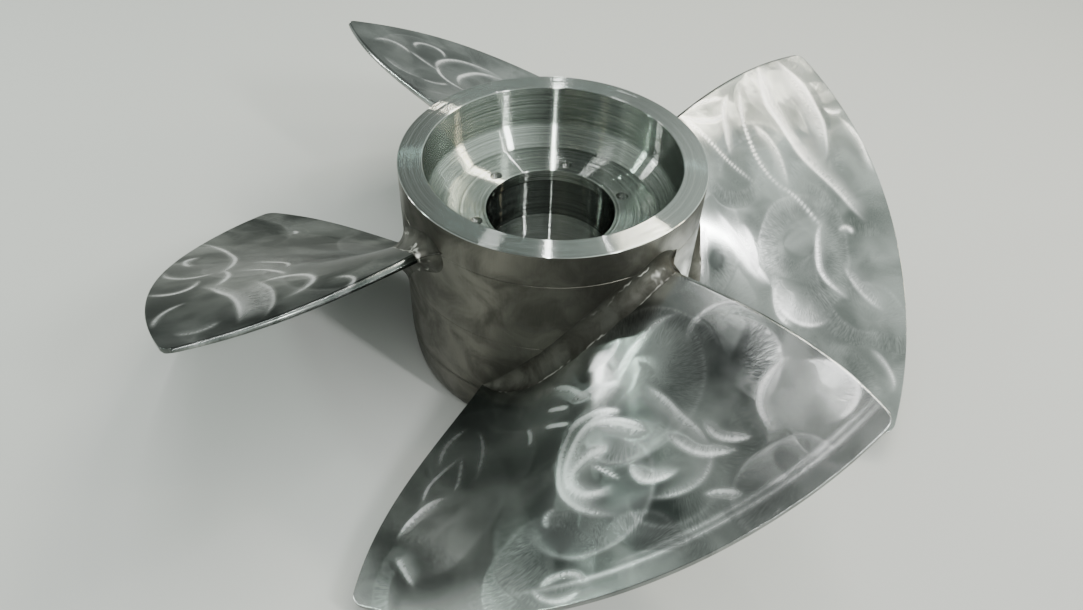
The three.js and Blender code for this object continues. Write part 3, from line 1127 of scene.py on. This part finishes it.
@dataclass(frozen=True)
class Blade:
    """A twisted blade, given by the lag and depth of its two edges and by its thickness.

    Lag is the angle behind the leading tip corner in degrees, and depths lie below the rim. Sizes
    are in millimetres. The edge is the radius of the tip's and the trailing edge's rounding. The
    tip's chord turns lengths at the trailing edge into shares of the chord. The root lies sunk in
    the hub, and the rows of points crowd together towards the tip by the power named crowding.
    """

    hub: Hub
    azimuth: float
    tip_radius: float = 519.4
    leading_lag: Curve = Curve(-1.2, -10.5, 11.5)
    trailing_lag: Curve = Curve(64.8, 13.3, -13.8)
    trailing_depth: Curve = Curve(250.0, 80.0, -45.0)
    leading_tip_depth: float = 25.0
    leading_root_drop: float = 32.0
    leading_power: float = 1.5
    sag: Curve = Curve(6.0, -3.0)
    swing: Curve = Curve(14.0, -8.5)
    nose_half: Curve = Curve(6.5, -3.3)
    trailing_half: Curve = Curve(3.0, -1.0)
    bulge: Curve = Curve(4.0, -2.8)
    leading_corner: float = 8.0
    trailing_corner: float = 12.0
    edge: float = 0.8
    edge_points: int = 5
    edge_sink: float = 2.5
    tip_chord: float = 560.0
    root_sink: float = 2.0
    crowding: float = 1.15
    upper_points: int = 250
    lower_points: int = 70
    nose_points: int = 11
    span_points: int = 150

    def span(self, radius: Array) -> Array:
        """Share of the way from the hub's outside to the tip."""
        return (radius - self.hub.radius) / (self.tip_radius - self.hub.radius)

    def middle(self, chord: Array, radius: Array) -> tuple[Array, Array]:
        """Middle surface at a share of the chord and a radius.

        The lag goes straight from the leading to the trailing edge. The depth goes straight too, plus
        a sag of sin(pi c) and less a swing of sin(2 pi c).

        Args:
            chord: share of the chord, 0 at the leading edge.
            radius: distance from the shaft axis.

        Returns:
            The distance round the axis behind the leading tip corner, and the height.
        """
        span = self.span(radius)
        lag = self.leading_lag(span) * (1 - chord) + self.trailing_lag(span) * chord
        drop = self.leading_root_drop * np.clip(1 - span, 0, None) ** self.leading_power
        leading = self.leading_tip_depth + drop
        depth = leading * (1 - chord) + self.trailing_depth(span) * chord
        depth = depth + self.sag(span) * np.sin(np.pi * chord) - self.swing(span) * np.sin(2 * np.pi * chord)
        return np.radians(lag) * radius, self.hub.up(depth)

    def half_thickness(self, chord: Array, radius: Array) -> Array:
        """Half the thickness, growing from the nose to mid chord and thinning to the trailing edge.

        It goes straight from the nose's to the trailing edge's, plus a bulge of sin(pi c).

        Args:
            chord: share of the chord.
            radius: distance from the shaft axis.

        Returns:
            Half the thickness.
        """
        span = self.span(radius)
        taper = self.nose_half(span) * (1 - chord) + self.trailing_half(span) * chord
        return taper + self.bulge(span) * np.sin(np.pi * chord)

    def outside(self, chord: Array, angle: Array, radius: Array, margin: Array) -> Array:
        """Places on the blade's skin, or on a skin that lies further out by a margin.

        From the middle surface a point goes out by half the thickness, at an angle that is 90 degrees
        on the upper face, -90 on the lower face and between the two round the nose.

        Args:
            chord: share of the chord.
            angle: angle in degrees.
            radius: distance from the shaft axis.
            margin: distance outside the skin.

        Returns:
            Places of shape (..., 3).
        """
        along, height = self.middle(chord, radius)
        # The way to the nose comes from a place a thousandth of the chord nearer to it.
        step_along, step_height = self.middle(chord - 0.001, radius)
        length = np.hypot(step_along - along, step_height - height)
        forward, rise = (step_along - along) / length, (step_height - height) / length
        reach = self.half_thickness(chord, radius) + margin
        out, up = reach * np.cos(np.radians(angle)), reach * np.sin(np.radians(angle))
        turn = np.radians(self.azimuth) - (along + out * forward + up * rise) / radius
        z = height + out * rise - up * forward
        return np.stack(np.broadcast_arrays(radius * np.cos(turn), radius * np.sin(turn), z), -1)

    def tip_at(self, chord: Array) -> Array:
        """Radius of the blade's outer end, rounded off at both tip corners.

        A corner of radius r takes r (1 - sqrt(1 - s squared)) off the tip, where s goes from 1 at the
        edge to 0 at a distance r from it.

        Args:
            chord: share of the chord.

        Returns:
            The radius.
        """
        ends = self.middle(np.array([0.0, 1.0]), np.full(2, self.tip_radius))[0]
        length = ends[1] - ends[0]
        near = np.clip(1 - chord * length / self.leading_corner, 0, 1)
        far = np.clip(1 - (1 - chord) * length / self.trailing_corner, 0, 1)
        leading = self.leading_corner * (1 - np.sqrt(1 - near ** 2))
        trailing = self.trailing_corner * (1 - np.sqrt(1 - far ** 2))
        return self.tip_radius - leading - trailing

    def stations(self, count: int) -> Array:
        """Chord shares from the trailing to the leading edge, closer together at both ends."""
        near = np.array([0.0006, 0.0015, 0.003])
        return np.concatenate([1 - near, np.linspace(0.994, 0.006, count), near[::-1], [0.0]])

    def outline(self) -> tuple[Array, Array, Array]:
        """Places round a section, from the trailing edge over the upper face and back.

        Returns:
            Share of the chord, angle in degrees and inset in millimetres, each of shape (n,).
        """
        turn = np.linspace(0, np.pi / 2, self.edge_points)
        corner = 1 - (self.edge / self.tip_chord) * (1 - np.sin(turn[::-1]))
        corner_inset = self.edge * (1 - np.cos(turn[::-1]))
        upper, lower = (
            np.concatenate([[1.0], corner, self.stations(count)])
            for count in (self.upper_points, self.lower_points)
        )
        nose = np.linspace(90, -90, self.nose_points + 2)[1:-1]
        start = np.concatenate([[self.edge_sink], corner_inset])
        chords = np.concatenate([upper, 0 * nose, lower[::-1]])
        angles = np.concatenate([0 * upper + 90, nose, 0 * lower - 90])
        inset = 0 * chords
        inset[:start.size] = start
        inset[-start.size:] = start[::-1]
        return chords, angles, inset

    def skin(self, name: str, grinding: Grinding) -> bpy.types.Object:
        """Makes the blade as one closed skin.

        Rows of section outlines run from inside the hub to the tip. There the edge is rounded, and
        the rows shrink on to the middle surface, which closes the tip. The root closes the same way.

        Args:
            name: the piece's name.
            grinding: the work of the grinder on it.

        Returns:
            The blade.
        """
        chord, angle, inset = self.outline()
        tip = self.tip_at(chord)
        share = np.linspace(0, 1, self.span_points)
        share = 1 - (1 - share) ** self.crowding
        root = self.hub.radius - self.root_sink
        limit = self.half_thickness(chord, tip)
        inset = np.minimum(inset, 0.8 * limit)
        # Three times the limit goes past the middle surface, where the margin is held below.
        rows = [(np.full(chord.shape, root), -limit * 3), (np.full(chord.shape, root), -inset)]
        rows += [(root + (tip - self.edge - root) * s, -inset) for s in share]
        for turn in np.linspace(0, np.pi / 2, self.edge_points)[1:]:
            rows.append((tip - self.edge * (1 - np.sin(turn)), -inset - self.edge * (1 - np.cos(turn))))
        rows.append((tip, -inset - self.edge * 1.6))
        rows.append((tip, -limit * 3))
        radius = np.stack([r for r, _ in rows])
        margin = np.stack([m for _, m in rows])
        margin = np.maximum(margin, -self.half_thickness(chord[None], radius))
        points = self.outside(chord[None], angle[None], radius, margin)
        faces = grid_faces(points.shape[0], points.shape[1], wrap_columns=True)
        points = points.reshape(-1, 3)
        return mesh_object(name, points, faces, grinding.marks(points))


@dataclass(frozen=True)
class Ridge:
    """A thin broken ridge along a root weld.

    Args:
        middle: mean angle across the fillet in radians, 0 at the blade.
        waver: how far the ridge strays from there.
        start: share of the chord where it starts.
        end: share of the chord where it fades out.
        share: how much of it stands, 1 for nearly all.
        width: half its width in radians.
    """

    middle: float
    waver: float
    start: float
    end: float
    share: float
    width: float


@dataclass(frozen=True)
class RootWeld:
    """Ground weld fillet along one side of a blade root and round its half of the nose.

    Sizes are in millimetres. The taper is the share of the chord from which the fillet shrinks, down
    to the least share of its size. The toe is the angle in radians over which its unevenness starts.
    """

    blade: Blade
    side: Side
    radius: float = 24.0
    arc_points: int = 52
    chord_points: int = 300
    nose_points: int = 22
    taper: float = 0.6
    least: float = 0.02
    toe: float = 0.3
    apron: float = 4.0
    sink: float = 0.5
    drop: float = 0.1
    unevenness: float = 0.35
    wave: float = 34.0
    crinkle: float = 0.5
    lines: tuple[Ridge, ...] = (
        Ridge(0.12, 0.08, 0.0, 1.0, 0.45, 0.03),
        Ridge(0.45, 0.3, 0.0, 0.06, 1.0, 0.07),
        Ridge(1.25, 0.16, 0.05, 0.3, 0.3, 0.04),
    )

    def ridges(self, place: Array, turn: Array, chord: Array) -> Array:
        """Thin broken ridges: along the blade's toe, over the nose, and near the hub's toe.

        Each is a bell curve across the fillet's arc, whose middle wavers over 30 and 9 mm, times a
        window that breaks it up over 45 and 12 mm.

        Args:
            place: places on the fillet, of shape (n, m, 3).
            turn: angle across the fillet in radians, 0 at the blade.
            chord: share of the chord.

        Returns:
            Height from 0 to 1, of shape (n, m).
        """
        total = np.zeros(place.shape[:2])
        for number, line in enumerate(self.lines):
            stray = ripple(place, 30.0, 20 + number) + 0.5 * ripple(place, 9.0, 25 + number)
            path = line.middle + line.waver * stray
            window = line.share + 0.7 * ripple(place, 12.0, 30 + number)
            window = ease(window + 0.7 * ripple(place, 45.0, 35 + number))
            window = window * ease((chord - line.start) / 0.01 + 1) * np.exp(-(chord / line.end) ** 4)
            total = np.maximum(total, np.exp(-((turn - path) / line.width) ** 2) * window)
        return total

    def mesh(self, name: str) -> bpy.types.Object:
        """Makes the fillet as one closed skin.

        Its section is a hollow quarter arc from the blade to the hub. Past both toes it dives under
        the blade's and the hub's skin at a slant, so that its unevenness makes a wavering toe line,
        and it is closed inside the steel. It runs from the trailing edge, where the arc has shrunk
        to almost nothing, to the middle of the nose. Crinkles follow parts of both toes.

        Args:
            name: the piece's name.

        Returns:
            The fillet.
        """
        hub = self.blade.hub.radius
        easing = (1 - np.cos(np.pi * np.linspace(0, 1, self.chord_points))) / 2
        chord = np.concatenate([1 - easing, np.zeros(self.nose_points)])
        nose = np.linspace(90, 0, self.nose_points + 1)[1:]
        angle = (np.concatenate([0 * easing + 90, nose]) * self.side.value)[:, None]
        chord = chord[:, None]
        past = np.clip((chord - self.taper) / (1 - self.taper), 0, 1)
        shrink = np.maximum(1 - past ** 2, self.least)
        reach = self.radius * shrink
        turn = np.linspace(0, np.pi / 2, self.arc_points)[None]
        radius, margin = hub + reach * (1 - np.sin(turn)), reach * (1 - np.cos(turn))
        place = self.blade.outside(chord, angle, radius, margin)
        crest = self.ridges(place, turn, chord)
        lift = self.unevenness * ripple(place, self.wave, 5) + self.crinkle * crest
        lift = lift * shrink * ease(turn / self.toe) * ease((np.pi / 2 - turn) / self.toe)
        lift = lift - self.drop
        radius, margin = radius + lift * np.sin(turn), margin + lift * np.cos(turn)
        deep = self.sink + 1.0
        apron = self.apron * shrink
        before = [(hub + reach, -deep), (hub + reach + apron, -self.sink * (0.4 + 0.6 * shrink))]
        after = [(hub - self.sink, reach + apron), (hub - deep, reach), (hub - deep, -deep)]
        columns = [*before, (radius, margin), *after]
        widths = [np.shape(r)[1] if np.size(r) > chord.size else 1 for r, _ in columns]
        radius, margin = (
            np.concatenate([np.broadcast_to(c[i], (chord.size, w)) for c, w in zip(columns, widths)], 1)
            for i in (0, 1)
        )
        rows = self.blade.outside(chord, angle, radius, margin)
        ends = [np.broadcast_to(rows[i].mean(0), rows[:1].shape) for i in (0, -1)]
        rows = np.concatenate([ends[0], rows, ends[1]])
        faces = grid_faces(rows.shape[0], rows.shape[1], wrap_columns=True)
        crest = np.pad(crest, ((1, 1), (len(before), len(after))))
        return mesh_object(name, rows.reshape(-1, 3), faces, {"crest": crest.ravel()})


@dataclass(frozen=True)
class Lamp:
    """A long soft box, given by the level parts of its direction from the hub and by its run.

    The run is the azimuth of its length in degrees. Its width and length are in metres, and its glow
    is the power in watts that each square metre sends out.
    """

    name: str
    east: float
    north: float
    run: float
    width: float
    length: float
    glow: float
    colour: str = "ffffff"

    def place(self, aim: Vector, distance: float) -> None:
        """Hangs the lamp, facing a point, with its length along its run.

        Args:
            aim: the point.
            distance: distance from the point in metres.
        """
        up = float(np.sqrt(1 - self.east ** 2 - self.north ** 2))
        data = bpy.data.lights.new(self.name, "AREA")
        data.shape, data.size, data.size_y = "RECTANGLE", self.width, self.length
        data.energy = self.glow * self.width * self.length
        data.color = linear(self.colour)[:3]
        lamp = bpy.data.objects.new(self.name, data)
        bpy.context.scene.collection.objects.link(lamp)
        back = Vector((self.east, self.north, up))
        run = Vector((*level_place(self.run).tolist(), 0.0))
        side = run.cross(back).normalized()
        axes = Matrix((side, back.cross(side), back)).transposed()
        lamp.matrix_world = Matrix.Translation(aim + back * distance) @ axes.to_4x4()


@dataclass(frozen=True)
class Studio:
    """Pale floor, soft lamps and the camera at the photographed angle. Sizes are in metres."""

    floor_colour: str = "c4c6c2"
    world_colour: str = "a3aaa6"
    low_strength: float = 0.5
    west_strength: float = 1.7
    east_strength: float = 3.8
    north_strength: float = 1.25
    floor_reach: float = 3.5
    lamp_distance: float = 2.6
    focal_length: float = 27.54
    sensor_width: float = 36.0
    elevation: float = 44.768
    roll: float = 2.6473
    eye: tuple[float, float, float] = (-0.00632, -0.89478, 0.93476)
    # Name, east, north, run, width, length, glow and colour.
    lamps: tuple[Lamp, ...] = (
        Lamp("overhead_row", 0.0, -0.15, 90.0, 0.06, 4.6, 150.0),
        Lamp("east_row", 0.38, 0.5, -39.0, 0.14, 1.4, 160.0, "fff6e6"),
        Lamp("west_row", -0.24, 0.33, 64.0, 0.2, 0.4, 45.0),
        Lamp("east_strip", 0.28, 0.24, 117.0, 0.03, 0.2, 650.0),
        Lamp("south_east_strip", 0.6, -0.52, -41.0, 0.14, 0.6, 380.0),
        Lamp("far_west_strip", -0.84, 0.11, 173.0, 0.06, 0.4, 400.0, "e8fff4"),
        Lamp("far_east_strip", 0.9, 0.12, 7.0, 0.12, 0.8, 120.0, "ffecd0"),
        Lamp("north_strip", -0.02, 0.82, 0.0, 0.02, 0.5, 20.0, "d8fff8"),
        Lamp("low_west_box", -0.93, 0.24, 90.0, 0.3, 0.3, 130.0),
    )

    def floor(self) -> None:
        """Lays a plain pale floor under the hub's lower face."""
        reach = self.floor_reach
        mesh = bpy.data.meshes.new("floor")
        corners = [(-reach, -reach, 0.0), (reach, -reach, 0.0), (reach, reach, 0.0), (-reach, reach, 0.0)]
        mesh.from_pydata(corners, [], [(0, 1, 2, 3)])
        floor = bpy.data.objects.new("floor", mesh)
        bpy.context.scene.collection.objects.link(floor)
        material = bpy.data.materials.new("Pale matt floor")
        material.use_nodes = True
        shader = material.node_tree.nodes["Principled BSDF"]
        feed(shader, {"Base Color": linear(self.floor_colour), "Roughness": 0.8})
        mesh.materials.append(material)

    def world(self) -> None:
        """Fills the room with soft light: low overhead, stronger in the north, west and east."""
        world = bpy.data.worlds.new("Studio")
        world.use_nodes = True
        tree = world.node_tree
        heading = add(tree, "TexCoord", output="Generated")
        east, north, _ = add(tree, "SeparateXYZ", heading).node.outputs
        strength = self.low_strength
        # Each side's axis, where its light starts, where it is full, and its strength.
        for axis, start, full, most in (
            (east, -0.1, 0.6, self.east_strength),
            (east, -0.35, -0.75, self.west_strength),
            (north, 0.88, 0.98, self.north_strength),
        ):
            share = add(tree, "MapRange", axis, start, full, interpolation_type="SMOOTHSTEP")
            strength = add(tree, "Mix", share, strength, most)
        feed(tree.nodes["Background"], {"Color": linear(self.world_colour), "Strength": strength})
        bpy.context.scene.world = world

    def camera(self) -> None:
        """Sets up the camera: it looks down at its elevation and is rolled about its line of sight."""
        tilt = np.radians(self.elevation)
        look = Vector((0.0, float(np.cos(tilt)), -float(np.sin(tilt))))
        right = Vector((1.0, 0.0, 0.0))
        up = right.cross(look)
        turn = np.radians(self.roll)
        rolled = right * float(np.cos(turn)) + up * float(np.sin(turn))
        raised = rolled.cross(look)
        data = bpy.data.cameras.new("camera")
        data.lens, data.sensor_width = self.focal_length, self.sensor_width
        camera = bpy.data.objects.new("camera", data)
        frame_axes = Matrix((rolled, raised, -look)).transposed()
        camera.matrix_world = Matrix.Translation(self.eye) @ frame_axes.to_4x4()
        bpy.context.scene.collection.objects.link(camera)
        bpy.context.scene.camera = camera

    def build(self, aim: Vector) -> None:
        """Sets up the floor, the light and the camera.

        Args:
            aim: the point that the lamps face.
        """
        self.floor()
        self.world()
        for lamp in self.lamps:
            lamp.place(aim, self.lamp_distance)
        self.camera()
        log.info("studio: %d lamps", len(self.lamps))


@dataclass(frozen=True)
class Runner:
    """The whole runner: hub, blades and root welds.

    The shines are each blade's painted tone, lighter or darker for the light that it reflects.
    """

    hub: Hub = Hub()
    blade_count: int = 4
    first_azimuth: float = 41.2
    painted_blade_tones: tuple[float, ...] = (0.13, 0.24, -0.08, 0.17)
    turned: TurnedSteel = TurnedSteel("Faced stainless steel", "c6cbc6", "b0b5b0", 0.11, lean=0.4)
    wall: TurnedSteel = TurnedSteel("Bored bright stainless steel", "c0c6c0", "868c86", 0.12, lean=0.8)
    # The bore's upper part is painted dark as shade, and its lower part is the same steel painted pale as if
    # lit.
    dark: TurnedSteel = TurnedSteel("Bore steel painted shade", "686d67", "5e635f", 0.1, lean=1.2)
    painted_lit_bore: TurnedSteel = TurnedSteel("Bore steel painted light", "a4a9a4", "9aa09b", 0.1, lean=1.6)
    # The hub's outside is painted dark as a reflection of dark surroundings, over clouds that vary at
    # random.
    painted_dark_outside: CloudySteel = CloudySteel("Ground stainless steel painted dark", "7a7870", "504f49", 0.4, cloud=50.0)
    thread: CloudySteel = CloudySteel("Tapped stainless thread", "9ca09c", "70746f", 0.07, cloud=9.0, mark=0.8)
    swirl: SwirlSteel = SwirlSteel("Disc-ground stainless steel")
    weld: CloudySteel = CloudySteel("Ground weld metal", "62625c", "3a3933", 0.55, cloud=40.0, mark=1.2)

    def build(self) -> None:
        """Makes all the pieces and dresses them."""
        self.hub.build(self.turned, self.wall, self.dark, self.painted_lit_bore, self.painted_dark_outside, self.thread)
        fillet, swirl = self.weld.material(), self.swirl.material()
        for number in range(1, self.blade_count + 1):
            azimuth = self.first_azimuth + 360 * (number - 1) / self.blade_count
            blade = Blade(self.hub, azimuth)
            strokes, patches, shine = (rows[number - 1] for rows in (STROKES, PATCHES, self.painted_blade_tones))
            grinding = Grinding(azimuth, strokes, patches, shine, seed=number)
            dress(blade.skin(f"ground_blade_{number}", grinding), f"blade_{number}", Slot.BLADE, swirl)
            for side in Side:
                name = f"{side.name.lower()}_{number}"
                weld = RootWeld(blade, side).mesh(f"fillet_{name}")
                dress(weld, f"root_weld_{name}", Slot.WELD, fillet)


def main() -> None:
    """Builds the runner and its studio."""
    logging.basicConfig(level=logging.INFO, format="%(message)s")
    runner = Runner()
    runner.build()
    Studio().build(Vector((0.0, 0.0, runner.hub.height * MM)))


if __name__ == "__main__":
    main()
